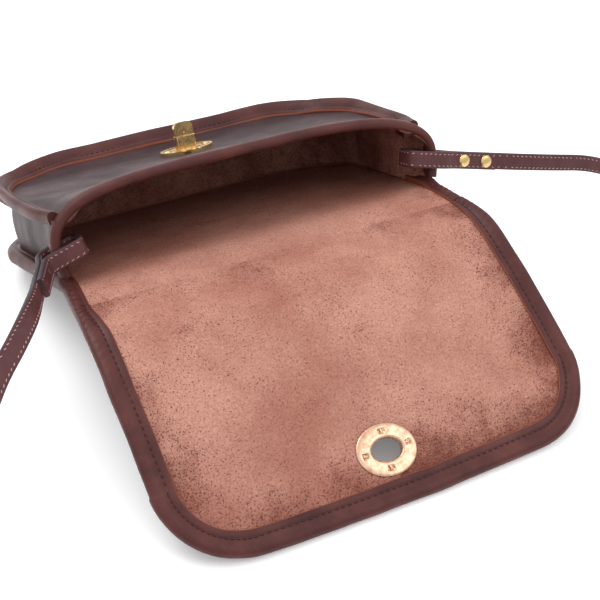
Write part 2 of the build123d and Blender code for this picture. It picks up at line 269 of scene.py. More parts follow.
def strip(name, line, width_way, materials):
    """A flat strip with softly rounded edges that follows a line. At each point its profile, a
    rounded rectangle, spans the width direction and the one square to it and to the line."""
    ahead = unit(np.gradient(line, axis=0))
    wide = unit(width_way - (width_way * ahead).sum(1, keepdims=True) * ahead)
    thick = np.cross(ahead, wide)
    turn = np.linspace(0, 2 * math.pi, 48, endpoint=False)
    across = np.sign(np.cos(turn)) * np.abs(np.cos(turn)) ** 0.22 * strap_width / 2
    deep = np.sign(np.sin(turn)) * np.abs(np.sin(turn)) ** 0.45 * strap_thickness / 2
    rows = line[:, None] + across[:, None] * wide[:, None] + deep[:, None] * thick[:, None]
    edge = smooth_step((np.abs(across) / strap_width * 2 - 0.93) / 0.05)
    side = smooth_step((np.abs(across) / strap_width * 2 - 0.80) / 0.10)
    marks = {"edge": np.tile(edge, (len(line), 1)), "rubbed": np.tile(side, (len(line), 1))}
    return carried(name, rows, materials, marks), ahead, wide, thick


def stitches(name, centres, along, up, length, width, material):
    """Short rounded threads, one at each centre: three rings of six points between two tips,
    the same small shape set at every centre along its own direction."""
    turn = np.arange(6) * math.pi / 3
    rings = np.repeat([-0.33, 0.0, 0.33], 6) * length
    swell = np.repeat([0.75, 1.0, 0.75], 6) * width / 2
    shape = np.stack([rings, swell * np.tile(np.cos(turn), 3), swell * np.tile(np.sin(turn), 3)], 1)
    shape = np.vstack([shape, [[-length / 2, 0, 0], [length / 2, 0, 0]]])
    side = unit(np.cross(up, along))
    centre = centres[:, None]
    points = (
        centre + shape[:, :1] * along[:, None] + shape[:, 1:2] * side[:, None] + shape[:, 2:] * up[:, None]
    )
    here, after = np.arange(6), (np.arange(6) + 1) % 6
    wall = np.vstack([
        np.vstack([np.stack([here + ring, here + ring + 6, after + ring + 6], 1),
                   np.stack([here + ring, after + ring + 6, after + ring], 1)]) for ring in (0, 6)
    ])
    tips = np.vstack(
        [np.stack([np.full(6, 18), here, after], 1), np.stack([np.full(6, 19), after + 12, here + 12], 1)]
    )
    faces = (np.vstack([wall, tips]) + 20 * np.arange(len(centres))[:, None, None]).reshape(-1, 3)
    return new_piece(name, points, faces, [material], crease=80)


hide_grain = bpy.data.node_groups.new("hide_grain", "ShaderNodeTree")
for socket_name, kind, direction in (
    ("Cell Size", "NodeSocketFloat", "INPUT"), ("Dark", "NodeSocketColor", "INPUT"),
    ("Light", "NodeSocketColor", "INPUT"), ("Colour", "NodeSocketColor", "OUTPUT"),
    ("Height", "NodeSocketFloat", "OUTPUT"), ("Mottle", "NodeSocketFloat", "OUTPUT"),
):
    hide_grain.interface.new_socket(socket_name, in_out=direction, socket_type=kind)
grain_in = add_node(hide_grain, "NodeGroupInput")
place = add_node(hide_grain, "TexCoord").outputs["Object"]
rate = add_node(
    hide_grain, "Math", {0: 1.0, 1: grain_in.outputs["Cell Size"]}, operation="DIVIDE"
).outputs[0]
warp = add_node(hide_grain, "TexNoise", {"Vector": place, "Scale": 260.0, "Detail": 2.0})
bent = add_node(
    hide_grain, "MixRGB", {"Fac": 0.0012, "Color1": place, "Color2": warp.outputs["Color"]},
    blend_type="ADD",
)
cells = add_node(
    hide_grain, "TexVoronoi", {"Vector": bent.outputs[0], "Scale": rate}, feature="DISTANCE_TO_EDGE"
)
pebble = add_node(
    hide_grain, "MapRange", {"Value": cells.outputs["Distance"], "From Max": 0.35, "To Max": 1.0},
    interpolation_type="SMOOTHSTEP",
)
blotch = add_node(hide_grain, "TexNoise", {"Vector": place, "Scale": 38.0, "Detail": 5.0, "Roughness": 0.6})
patchy = add_node(hide_grain, "MapRange", {"Value": blotch.outputs[0], "From Min": 0.35, "From Max": 0.68})
colour = add_node(
    hide_grain, "MixRGB",
    {"Fac": patchy.outputs[0], "Color1": grain_in.outputs["Dark"], "Color2": grain_in.outputs["Light"]},
)
fine = add_node(hide_grain, "TexNoise", {"Vector": place, "Scale": 2200.0, "Detail": 2.0})
height = add_node(
    hide_grain, "Math", {0: fine.outputs[0], 1: 0.3, 2: pebble.outputs[0]}, operation="MULTIPLY_ADD"
)
add_node(
    hide_grain, "NodeGroupOutput",
    {"Colour": colour.outputs[0], "Height": height.outputs[0], "Mottle": patchy.outputs[0]},
)


def leather(name, dark, light, edge_colour, cell, rough, depth):
    """Smooth dyed leather: two shades in blotches, a pebbled grain, and a raw or painted edge
    where the piece's own edge mark is 1."""
    material, tree, shader = new_material(name)
    grain = add_node(tree, "Group", node_tree=hide_grain)
    grain.inputs["Cell Size"].default_value = cell
    grain.inputs["Dark"].default_value = linear(*dark)
    grain.inputs["Light"].default_value = linear(*light)
    edge = add_node(tree, "Attribute", attribute_name="edge")
    painted = add_node(
        tree, "MixRGB",
        {"Fac": edge.outputs["Fac"], "Color1": grain.outputs["Colour"], "Color2": linear(*edge_colour)},
    )
    tree.links.new(painted.outputs[0], shader.inputs["Base Color"])
    gloss = add_node(
        tree, "MapRange", {"Value": grain.outputs["Mottle"], "To Min": rough + 0.08, "To Max": rough - 0.05}
    )
    tree.links.new(gloss.outputs[0], shader.inputs["Roughness"])
    bump = add_node(tree, "Bump", {"Height": grain.outputs["Height"], "Distance": depth, "Strength": 0.6})
    tree.links.new(bump.outputs[0], shader.inputs["Normal"])
    shader.inputs["Specular IOR Level"].default_value = 0.22
    return material


def thread(name, dark, light):
    """Waxed thread: two shades along its length and a fine twist."""
    material, tree, shader = new_material(name)
    spot = add_node(tree, "TexCoord").outputs["Object"]
    shade = add_node(tree, "TexNoise", {"Vector": spot, "Scale": 900.0, "Detail": 3.0})
    mixed = add_node(
        tree, "MixRGB", {"Fac": shade.outputs[0], "Color1": linear(*dark), "Color2": linear(*light)}
    )
    tree.links.new(mixed.outputs[0], shader.inputs["Base Color"])
    bump = add_node(tree, "Bump", {"Height": shade.outputs[0], "Distance": 0.0001})
    tree.links.new(bump.outputs[0], shader.inputs["Normal"])
    shader.inputs["Roughness"].default_value = 0.7
    return material


strap_leather = leather("strap_leather", (72, 40, 43), (92, 55, 56), (40, 38, 44), 0.0011, 0.42, 0.00006)
pale_thread = thread("pale_thread", (140, 98, 100), (204, 166, 166))
dip = math.radians(15)
left_up = body_direction(-math.sin(dip), 0, math.cos(dip))
right_up = body_direction(math.sin(dip), 0, math.cos(dip))
strap_line = spaced(spline_points(strap_route), 0.0015)
far = distance_along(strap_line)[:, None]
upright = np.array([0.0, 0.0, 1.0])
from_left = smooth_step(far / 0.11)
from_right = smooth_step((far[-1] - far) / 0.11)
strap_up = from_left * from_right * upright + (1 - from_left) * left_up + (1 - from_right) * right_up
hang = math.radians(48) * smooth_step(far / 0.04) * (1 - smooth_step((far - 0.10) / 0.10))
outward = unit(np.cross(np.gradient(strap_line, axis=0), upright))
strap_up = strap_up * np.cos(hang) + outward * np.sin(hang)
strap, ahead, wide, thick = strip("strap", strap_line, strap_up, [strap_leather])


def strap_stitches(name, line, ahead, wide, thick):
    """Two rows of slanting stitches on each face of a strap, one near each edge."""
    count = int(distance_along(line)[-1] / 0.0031)
    at = np.linspace(2, len(line) - 3, count).astype(int)
    places, ways, ups = [], [], []
    for face in (-1, 1):
        for row in (-1, 1):
            places.append(line[at] + row * 0.0032 * wide[at] + face * 0.00132 * thick[at])
            ways.append(unit(ahead[at] + 0.34 * row * wide[at]))
            ups.append(face * thick[at])
    return stitches(name, *map(np.vstack, (places, ways, ups)), 0.0018, 0.0006, pale_thread)


strap_thread = strap_stitches("strap_thread", strap_line, ahead, wide, thick)
for piece in (strap, strap_thread):
    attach(piece, "bag_body")
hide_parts("strap_run")

# ---- Strap ends
# Each end of the strap goes through a slit in the gusset, rounds the rim of the mouth and is
# folded back on itself, where two brass rivets hold the lap.
rim_right, rim_left = 98.66, -98.66
strap_height = 15.8


def loop_line(route, side):
    """The folded end's middle line: control points in the strap's own plane, out from the
    gusset and along the body, pulled smooth and set in the plane that dips outwards."""
    out, along = np.array(route, float).T
    start = rim_right if side > 0 else rim_left
    control = body_point(start + side * out * math.cos(dip), along, strap_height - out * math.sin(dip))
    return spaced(spline_points(control), 0.0010)


right_loop = loop_line([
    (58.0, 8.3), (40.0, 8.3), (25.0, 8.3), (15.0, 15.2), (0.0, 15.2), (-4.4, 15.2), (-4.4, 8.5),
    (-4.4, 1.8), (0.0, 1.8), (15.0, 1.8), (25.0, 5.4), (40.0, 5.4), (52.0, 5.4),
], 1)
lean = math.radians(20)


def forward_leg(along, across):
    """A point of the left end's forward leg, measured from where it turns forward."""
    out = 12.8 + along * math.sin(lean) + across * math.cos(lean)
    return out, 1.8 - along * math.cos(lean) + across * math.sin(lean)


left_loop = loop_line([
    forward_leg(36, 2.9), forward_leg(20, 2.9), forward_leg(2, 2.9), (14.0, 15.2), (1.0, 15.2),
    (-6.9, 15.2), (-6.9, 8.5), (-6.9, 1.8), (0.0, 1.8), (12.0, 1.8), forward_leg(5, 0),
    forward_leg(18, 0), forward_leg(30, 0),
], -1)
for name, line, up in (("right", right_loop, right_up), ("left", left_loop, left_up)):
    loop, ahead, wide, thick = strip(
        f"strap_loop_{name}", line, np.tile(up, (len(line), 1)), [strap_leather]
    )
    loop_thread = strap_stitches(f"loop_thread_{name}", line, ahead, wide, thick)
    for piece in (loop, loop_thread):
        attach(piece, "bag_body")
    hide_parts(f"strap_end_{name}")

# ---- Flap: the suede sheet from the middle of the spine to the flap's end
# One hide, suede inside and smooth grain outside. It bends over the top fold and the front fold
# and falls in a shallow curve to the table, where its end rests.
body_height, body_corner = 142.0, 52.0
spine_length, flap_length = 46.0, 124.3
half_mouth, half_bottom, half_front, half_end = 108.0, 119.5, 111.0, 112.5
flap_corner, flap_crown = 40.0, 1.6
flap_bulge = 4.2
spine_tilt, flap_tilt = math.radians(7.5), math.radians(-28.44)


def inner_face():
    """The suede's line seen from the side, as distance from the top fold, place and direction.
    Three straight runs, body, spine and flap, lie under their fold lines; the flap bows up by
    a share u(1-u)^1.6 of its length, and the whole line is averaged over a bell 28 mm wide."""
    step = 0.25
    at = np.arange(-200.0, 200.0 + step, step)
    tilt = np.where(at > 0, body_tilt, np.where(at > -spine_length, spine_tilt, flap_tilt))
    past = np.where(at < -spine_length, at + spine_length, at)
    corner = np.where(at[:, None] < -spine_length, front_fold, top_fold)
    share = np.clip(-past / flap_length, 0, 1) * (at < -spine_length)
    bow = flap_bulge * share * (1 - share) ** 1.6 / 0.1769
    lift = bow - fold_lift
    level = corner[:, 1] + past * np.cos(tilt) + lift * np.sin(tilt)
    height = corner[:, 2] - past * np.sin(tilt) + lift * np.cos(tilt)
    bell = np.cos(np.linspace(-math.pi / 2, math.pi / 2, 2 * int(14 / step) + 1)) ** 2
    bell /= bell.sum()
    level, height = (np.convolve(line, bell, "same") for line in (level, height))
    keep = (at > -180) & (at < 180)
    slope = np.arctan2(np.gradient(height), np.gradient(level))
    return at[keep], level[keep], height[keep], slope[keep]


face_at, face_level, face_height, face_slope = inner_face()


def sheet_point(x, along, lift):
    """Metres in the frame for a place on the suede: x across, along from the top fold, positive
    into the body and negative over the flap, and lift square to the sheet. Towards its end the
    flap lies over to the right by 3 mm times the share of its length to the power 1.5."""
    along = np.asarray(along, float)
    share = np.clip(-spine_length - along, 0, None) / flap_length
    x, along = x + 3.0 * share**1.5, along - share
    level, height, slope = (
        np.interp(along, face_at, line) for line in (face_level, face_height, face_slope)
    )
    return stacked(x, level - lift * np.sin(slope), height + lift * np.cos(slope)) * 1e-3


def half_width(along):
    """Half the hide's width at a distance from the top fold: straight tapers, less the drop of
    a quarter circle at each corner."""
    past = -spine_length - np.asarray(along, float)
    side = np.interp(along, [-spine_length - flap_length, -spine_length, 0, body_height],
                     [half_end, half_front, half_mouth, half_bottom])
    into = np.clip(past - (flap_length - flap_crown - flap_corner), 0, flap_corner)
    side = side - (flap_corner - np.sqrt(flap_corner**2 - into**2))
    into = np.clip(np.asarray(along, float) - (body_height - body_corner), 0, body_corner)
    return side - (body_corner - np.sqrt(body_corner**2 - into**2))


def shell(name, upper, lower, materials, keep=None, marks={}):
    """A sheet with two faces: equal grids above and below, and a wall wherever a kept cell
    meets an empty one. The materials are the upper face's, the lower face's and the wall's."""
    rows, columns = upper.shape[:2]
    keep = np.ones((rows - 1, columns - 1), bool) if keep is None else keep
    top = quads(rows, columns)[keep.ravel()]
    bottom = top[:, ::-1] + rows * columns
    index = np.arange(rows * columns).reshape(rows, columns)
    padded = np.pad(keep, 1)
    walls = []
    for before, after, start, end in (
        (padded[:-1, 1:-1], padded[1:, 1:-1], index[:, 1:], index[:, :-1]),
        (padded[1:-1, :-1], padded[1:-1, 1:], index[:-1, :], index[1:, :]),
    ):
        for edge, one, two in ((after & ~before, start, end), (before & ~after, end, start)):
            one, two = one[edge], two[edge]
            walls.append(np.stack([one, two, two + rows * columns, one + rows * columns], 1))
    faces = np.vstack([top, bottom, *walls])
    which = np.repeat([0, 1, 2], [len(top), len(bottom), len(faces) - len(top) - len(bottom)])
    points = np.concatenate([upper.reshape(-1, 3), lower.reshape(-1, 3)])
    both = {key: np.concatenate([np.ravel(value)] * 2) for key, value in marks.items()}
    return new_piece(name, points, faces, materials, marks=both, which=which)


suede, tree, shader = new_material("suede")
spot = add_node(tree, "TexCoord").outputs["Object"]
cloud = add_node(tree, "TexNoise", {"Vector": spot, "Scale": 17.0, "Detail": 6.0, "Roughness": 0.62})
cloudy = add_node(tree, "MapRange", {"Value": cloud.outputs[0], "From Min": 0.36, "From Max": 0.62})
base = add_node(
    tree, "MixRGB",
    {"Fac": cloudy.outputs[0], "Color1": linear(156, 104, 90), "Color2": linear(182, 133, 117)},
)
# Where the 'shade' mark is high, it and noise patches darken the suede towards (118, 68, 58) and crowd its
# dark flecks. This gives dark patches near the flap's edges, and painted shade inside the body and near the
# mouth.
shade = add_node(tree, "Attribute", attribute_name="shade")
patch = add_node(tree, "TexNoise", {"Vector": spot, "Scale": 31.0, "Detail": 7.0, "Roughness": 0.7})
patches_and_painted_shade = add_node(
    tree, "Math", {0: shade.outputs["Fac"], 1: 0.42, 2: patch.outputs[0]}, operation="MULTIPLY_ADD"
)
dark = add_node(
    tree, "MapRange", {"Value": patches_and_painted_shade.outputs[0], "From Min": 0.56, "From Max": 0.98},
    interpolation_type="SMOOTHSTEP",
)
patched_and_shaded = add_node(
    tree, "MixRGB", {"Fac": dark.outputs[0], "Color1": base.outputs[0], "Color2": linear(118, 68, 58)}
)
nap = add_node(tree, "TexNoise", {"Vector": spot, "Scale": 1000.0, "Detail": 3.0, "Roughness": 0.7})
napped = add_node(
    tree, "MapRange",
    {"Value": nap.outputs[0], "From Min": 0.32, "From Max": 0.68, "To Min": 0.74, "To Max": 1.20},
)
toned = add_node(
    tree, "MixRGB", {"Fac": 1.0, "Color1": patched_and_shaded.outputs[0], "Color2": napped.outputs[0]},
    blend_type="MULTIPLY",
)
fleck = add_node(tree, "TexNoise", {"Vector": spot, "Scale": 1250.0, "Detail": 1.0})
limit = add_node(
    tree, "MapRange",
    {"Value": patches_and_painted_shade.outputs[0], "From Min": 0.45, "From Max": 0.90, "To Min": 0.66, "To Max": 0.50},
)
over = add_node(tree, "Math", {0: fleck.outputs[0], 1: limit.outputs[0]}, operation="SUBTRACT")
spots_dark = add_node(
    tree, "MapRange", {"Value": over.outputs[0], "From Min": 0.0, "From Max": 0.06, "To Max": 0.85}
)
flecked = add_node(
    tree, "MixRGB", {"Fac": spots_dark.outputs[0], "Color1": toned.outputs[0], "Color2": linear(96, 54, 46)}
)
tree.links.new(flecked.outputs[0], shader.inputs["Base Color"])
bump = add_node(tree, "Bump", {"Height": nap.outputs[0], "Distance": 0.0003, "Strength": 0.8})
tree.links.new(bump.outputs[0], shader.inputs["Normal"])
shader.inputs["Roughness"].default_value = 0.95
shader.inputs["Specular IOR Level"].default_value = 0.1
panel_leather = leather("panel_leather", (44, 26, 29), (66, 42, 46), (64, 36, 34), 0.0015, 0.42, 0.00014)
raw_edge, tree, shader = new_material("raw_edge")
spot = add_node(tree, "TexCoord").outputs["Object"]
fibre = add_node(tree, "TexNoise", {"Vector": spot, "Scale": 800.0, "Detail": 4.0})
mixed = add_node(
    tree, "MixRGB", {"Fac": fibre.outputs[0], "Color1": linear(70, 36, 30), "Color2": linear(116, 66, 50)}
)
tree.links.new(mixed.outputs[0], shader.inputs["Base Color"])
shader.inputs["Roughness"].default_value = 0.9

eyelet_x, eyelet_at = -1.6, -spine_length - (flap_length - 26.0)
half_spine = -spine_length / 2
leather_thickness = 2.0
to_lock, to_end = -spine_length - 82, -spine_length - flap_length + 1.6
flap_along = np.concatenate([np.linspace(half_spine, to_lock, 52)[:-1], np.linspace(to_lock, to_end, 70)])
flap_side = np.linspace(-1, 1, 150)
along = np.repeat(flap_along[:, None], len(flap_side), 1)
x = flap_side * (half_width(flap_along) - 1.3)[:, None]
reach = np.hypot((x - eyelet_x) / 8.5, (along - eyelet_at) / 6.3)
inside = reach < 1
cells_out = inside[:-1, :-1] & inside[1:, :-1] & inside[1:, 1:] & inside[:-1, 1:]
pushed = np.where(inside & (reach > 0.2), 1 / np.maximum(reach, 0.2), 1.0)
x, along = eyelet_x + (x - eyelet_x) * pushed, eyelet_at + (along - eyelet_at) * pushed
ripple = 0.35 * wander(x + 0.4 * along, 95.0, 3) + 0.2 * wander(along - 0.3 * x, 60.0, 4)
ripple = ripple * smooth_step((half_spine - along) / 20)
from_edge = np.minimum(half_width(along) - np.abs(x), along + spine_length + flap_length)
# The 'shade' mark is darker within 38 mm of the flap's edges, more on the right and towards the end, as
# dark patches. The extra term near the spine's middle is painted shade by the mouth.
shade = (
    np.clip(1 - from_edge / 38, 0, 1) * (0.45 + 0.45 * (x > 0) + 0.5 * smooth_step((-along - 80) / 50))
    + 0.3 * smooth_step(1 - (half_spine - along) / 25)
)
flap_hide = shell(
    "flap_hide", sheet_point(x, along, ripple), sheet_point(x, along, ripple - leather_thickness),
    [suede, panel_leather, raw_edge], ~cells_out, {"shade": shade},
)
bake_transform(flap_hide)
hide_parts("flap_panel", "spine_panel")

# ---- Back: the same hide from the middle of the spine down inside the body
# Suede lines the back of the compartment down to the bottom seam.
back_along = np.concatenate([np.linspace(half_spine, 90, 60)[:-1], np.linspace(90, body_height - 1.4, 50)])
back_side = np.linspace(-1, 1, 120)
x = back_side * (half_width(back_along) - 1.3)[:, None]
along = np.repeat(back_along[:, None], len(back_side), 1)
# Painted shade inside the compartment: the 'shade' mark darkens the suede within 30 mm of its seams, and a
# little more deeper into the body.
shade = 0.5 * np.clip(1 - (half_width(along) - np.abs(x)) / 30, 0, 1) + 0.1 * smooth_step((along - 5) / 60)
back_hide = shell(
    "back_hide", sheet_point(x, along, 0.0), sheet_point(x, along, -leather_thickness),
    [suede, panel_leather, raw_edge], marks={"shade": shade},
)
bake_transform(back_hide)
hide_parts("back_panel")

# ---- Flap binding
# A strip of thin leather folded round the hide's edge, glued and sewn through near its inner
# edge, so the outer part stands up as a roll. It puckers where the edge turns.
binding_leather = leather(
    "binding_leather", (62, 28, 28), (88, 46, 42), (132, 70, 48), 0.0016, 0.40, 0.00008
)
dark_thread = thread("dark_thread", (38, 18, 18), (64, 32, 30))
dark_stitch = (0.0022, 0.0006)   # length and width, in metres
stitch_gap = 3.3
thin_roll = np.array([
    (12.0, 0.05), (12.0, 0.85), (11.7, 1.05), (10.6, 1.20), (9.2, 1.10), (8.2, 0.65), (7.4, 1.05),
    (6.2, 1.60), (4.8, 2.05),
    (3.4, 2.15), (2.2, 1.90), (1.1, 1.35), (0.4, 0.50), (0.05, -0.50), (0.05, -1.5), (0.5, -2.5),
    (1.3, -3.05), (2.6, -3.25),
    (4.5, -3.25), (7.4, -3.1), (8.2, -2.8), (9.0, -3.1), (11.2, -3.1), (12.0, -2.9), (12.0, -2.05),
    (6.0, -2.05),
    (2.0, -2.0), (1.4, -1.5), (1.4, -0.5), (2.0, 0.0), (6.0, 0.05),
])


def rounded_profile(corners, count):
    """A closed profile through the middles of its corners' sides, rounded by a quadratic curve
    at each corner, with the same number of points for each."""
    before = (corners + np.roll(corners, 1, axis=0)) / 2
    after = (corners + np.roll(corners, -1, axis=0)) / 2
    share = np.linspace(0, 1, count, endpoint=False)[:, None]
    bends = (
        before[:, None] * (1 - share) ** 2 + 2 * corners[:, None] * share * (1 - share)
        + after[:, None] * share**2
    )
    return bends.reshape(-1, corners.shape[1])


def flap_edge_line():
    """The flap's edge as x and distance from the top fold: down the left side, a quarter circle,
    the slightly bowed end, a quarter circle and up the right side."""
    end = -spine_length - flap_length + flap_crown
    corner_at = end + flap_corner
    side = np.linspace(half_spine, corner_at, 90)
    turn = np.linspace(0, math.pi / 2, 50)[1:]
    centre = half_end - flap_corner
    left = np.stack([-half_width(side), side], 1)
    arc = np.stack([-centre - flap_corner * np.cos(turn), corner_at - flap_corner * np.sin(turn)], 1)
    across = np.linspace(-centre, centre, 90)[1:-1]
    bow = flap_crown * (1 - (across / centre) ** 2)
    flat = np.stack([across, end - bow], 1)
    line = np.vstack([left, arc, flat, arc[::-1] * [-1, 1], left[::-1] * [-1, 1]])
    return line


def inward(line):
    """The direction square to a path in its plane, to the left of its travel."""
    ahead = unit(np.gradient(line, axis=0))
    return np.stack([-ahead[:, 1], ahead[:, 0]], 1)


edge_line = spaced(flap_edge_line(), 0.8)
edge_far = distance_along(edge_line)
edge_in = inward(edge_line)
if (edge_in[len(edge_in) // 2] @ [0, 1]) < 0:
    edge_in = -edge_in
roll = rounded_profile(thin_roll, 3)
near_root = np.exp(-(((edge_line[:, 1] + 34) / 22) ** 2))
at_corner = np.exp(-(((np.abs(edge_line[:, 0]) - 100) / 16) ** 2)) * (edge_line[:, 1] < -spine_length - 70)
slant = edge_far[:, None] + 0.5 * roll[:, 0]
pucker = (
    (0.24 * near_root + 0.08 * at_corner + 0.03)[:, None]
    * np.sin(slant * 2 * math.pi / 4.3 + 2.2 * wander(edge_far, 31, 7)[:, None])
)
puff = 1 + 0.10 * wander(edge_far, 42, 8)
on_roll = np.exp(-(((roll[:, 0] - 4.0) / 2.8) ** 2)) * (roll[:, 1] > 0.2)
narrow = 0.72 + 0.28 * smooth_step((half_spine - edge_line[:, 1:]) / 28)
inset = roll[:, 0] * narrow + 0.25 * (pucker * (roll[:, 0] < 1.5)) + 0.25 * wander(edge_far, 40, 9)[:, None]
lift = np.where(roll[:, 1] > 0, roll[:, 1] * puff[:, None], roll[:, 1]) + pucker * on_roll
x = edge_line[:, :1] + edge_in[:, :1] * inset
along = edge_line[:, 1:] + edge_in[:, 1:] * inset
raw = smooth_step((roll[:, 0] - 11.6) / 0.25) * (roll[:, 1] > 0)
flap_binding = carried(
    "flap_binding_roll", sheet_point(x, along, lift), [binding_leather],
    {"edge": np.tile(raw, (len(edge_line), 1))},
)


def edge_stitches(name, line, inner, depth, lift, place):
    """Stitches along an edge line, a set distance in from it, on its upper face."""
    spots = spaced(np.hstack([line, inner]), stitch_gap)
    here, way = spots[:, :2], spots[:, 2:]
    centre = here + way * depth
    ahead = unit(np.gradient(centre, axis=0))
    points = place(centre[:, 0], centre[:, 1], lift)
    ends = place(centre[:, 0] + ahead[:, 0], centre[:, 1] + ahead[:, 1], lift)
    above = place(centre[:, 0], centre[:, 1], lift + 1.0)
    return stitches(name, points, unit(ends - points), unit(above - points), *dark_stitch, dark_thread)


flap_thread = edge_stitches("flap_thread", edge_line, edge_in * narrow, 8.3, 0.95, sheet_point)
for piece in (flap_binding, flap_thread):
    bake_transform(piece)
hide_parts("flap_binding", "spine_binding_left", "spine_binding_right")

# ---- Back binding
# The same folded strip goes on round the body's back seam, where it also takes in the
# gusset's turned-out edge, so it is thicker there.
seam_roll = np.array([
    (8.6, -0.6), (8.6, 0.5), (8.4, 1.2), (7.7, 1.5), (6.9, 1.5), (6.3, 1.15), (5.8, 1.4),
    (5.0, 1.9), (4.0, 2.1),
    (3.0, 2.1), (2.0, 1.8), (1.1, 1.2), (0.4, 0.3), (0.05, -0.8), (0.05, -2.4), (0.4, -4.0), (1.1, -4.8),
    (2.6, -5.2), (4.5, -5.3), (6.0, -5.0), (7.0, -5.2), (8.5, -5.1), (9.0, -4.9), (9.0, -3.4), (8.8, -2.0),
])


def body_edge_line(start):
    """The body's outline as x and distance from the top fold, from a start on the left side
    round the bottom to the same place on the right."""
    corner_at = body_height - body_corner
    side = np.linspace(start, corner_at, 90)
    turn = np.linspace(0, math.pi / 2, 50)[1:]
    centre = half_bottom - body_corner - 4.2
    left = np.stack([-half_width(side), side], 1)
    arc_x = -np.interp(turn, [0, math.pi / 2], [half_width(corner_at) - body_corner, centre])
    arc = np.stack([arc_x - body_corner * np.cos(turn), corner_at + body_corner * np.sin(turn)], 1)
    flat = np.linspace(arc[-1], arc[-1] * [-1, 1], 90)[1:-1]
    return np.vstack([left, arc, flat, arc[::-1] * [-1, 1], left[::-1] * [-1, 1]])


def facing_in(line):
    """The inward direction along an outline that goes round the body's middle."""
    way = inward(line)
    return way if way[0, 0] > 0 else -way


back_line = spaced(body_edge_line(half_spine), 1.0)
back_in = facing_in(back_line)
back_far = distance_along(back_line)
thicker = smooth_step((back_line[:, 1] + 4) / 10)[:, None]
seam = rounded_profile(seam_roll, 3)
thin = np.stack(
    [seam[:, 0], np.where(seam[:, 1] > -1.6, seam[:, 1] * 0.95, -3.25 + (seam[:, 1] + 5.3) * 0.6)], 1
)
rise = thin[:, 1] + thicker * (seam[:, 1] + 1.95 - thin[:, 1])
root_pucker = 0.2 * np.exp(-(((back_line[:, 1] + 10) / 14) ** 2))[:, None]
waves = np.sin(back_far * 2 * math.pi / 4.4 + 2.0 * wander(back_far, 29, 12))[:, None]
rise = rise + root_pucker * waves * np.exp(-(((seam[:, 0] - 3.0) / 2.6) ** 2)) * (seam[:, 1] > 0)
inset = seam[:, 0] + 0.15 * wander(back_far, 45, 13)[:, None]
x = back_line[:, :1] + back_in[:, :1] * inset
along = back_line[:, 1:] + back_in[:, 1:] * inset
raw = smooth_step((seam[:, 0] - 8.2) / 0.25)
back_binding = carried(
    "back_binding_roll", sheet_point(x, along, rise), [binding_leather],
    {"edge": np.tile(raw, (len(back_line), 1))},
)
back_thread = edge_stitches("back_thread", back_line, back_in, 6.3, 1.2, sheet_point)
for piece in (back_binding, back_thread):
    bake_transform(piece)
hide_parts("back_seam_binding")

# ---- Front panel
# Grained leather, suede inside. It arches over the mouth, sags to the turn lock and rises
# again to the stiff bottom seam.
mouth_setback, wrap = 3.5, 1.3


def arch_height(x):
    """Height of the mouth's middle line over the suede: half of a squared-off ellipse, fuller
    on the left, where the strap pulls the side in."""
    span = np.where(x > 0, 109.5, 105.0)
    power = np.where(x > 0, 3.2, 4.6)
    share = np.clip(1 - np.abs(x / span) ** power, 0, 1)
    return 17.0 + 27.0 * share**0.42


def seam_level(y):
    """Height of the front seam over the suede, from the mouth to the bottom."""
    return np.interp(y, [0, 60, 128, 147], [31.0, 33.0, 33.0, 36.7])


def mouth_draw(y):
    """How far the front seam is drawn in: 4 mm at the mouth, eased out over 28 mm, and 2 mm
    towards the bottom."""
    return 4.0 * (1 - smooth_step((y - 4) / 28)) + 2.0 * smooth_step((y - 50) / 60)


def panel_height(x, y):
    """Height of the front panel's middle: the arch gives way to a level 33 mm towards the turn
    lock, and the outer 7 mm lie at the seam's own height."""
    give = smooth_step((y - 8) / 56)
    seam_side = seam_level(y)
    rise = 3.7 * smooth_step((y - 122) / 24)
    middle = arch_height(x) * (1 - give) + (33.0 + rise) * give
    from_side = half_width(y) - mouth_draw(y) - np.abs(x)
    return seam_side + (middle - seam_side) * smooth_step((from_side - 7) / 11)


cover_y = np.concatenate([np.linspace(4.8, 90, 70)[:-1], np.linspace(90, body_height - 1.4, 56)])
cover_side = np.linspace(-1, 1, 130)
x = cover_side * (half_width(cover_y) - mouth_draw(cover_y) - wrap)[:, None]
y = np.repeat(cover_y[:, None], len(cover_side), 1)
uneven = 0.5 * wander(x, 80, 21) + 0.3 * wander(y + 0.5 * x, 47, 22)
off_lock = smooth_step((np.hypot(x, y - 98) - 20) / 15)
middle = panel_height(x, y) + uneven * off_lock * smooth_step((y - 14) / 20)
# The small even 'shade' mark on its suede inner face is painted shade inside the compartment.
front_cover = shell(
    "front_cover", body_point(x, y, middle + 1), body_point(x, y, middle - 1),
    [panel_leather, suede, raw_edge], marks={"shade": np.full(x.shape, 0.05)},
)
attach(front_cover, "bag_body")
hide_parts("front_panel")

# ---- Front binding
# The front seam has the same folded strip round the panel's edge and the gusset's edge.
front_line = spaced(body_edge_line(9.0), 1.0)
front_line[:, 0] -= np.clip(front_line[:, 0] / 60, -1, 1) * mouth_draw(front_line[:, 1])
front_in = facing_in(front_line)
front_far = distance_along(front_line)
x = front_line[:, :1] + front_in[:, :1] * (seam[:, 0] + 0.15 * wander(front_far, 40, 31)[:, None])
y = front_line[:, 1:] + front_in[:, 1:] * seam[:, 0]


def seam_point(x, y, lift, depth=6.3):
    """A place on the front seam's binding: lift is over the seam's own height. The seam stands
    up: its outer edge is higher than its inner one, by its slope times the 9 mm less the depth."""
    slope = 0.3 + 0.5 * smooth_step((y - 50) / 60)
    return body_point(x, y, seam_level(y) + lift + slope * (9 - depth))


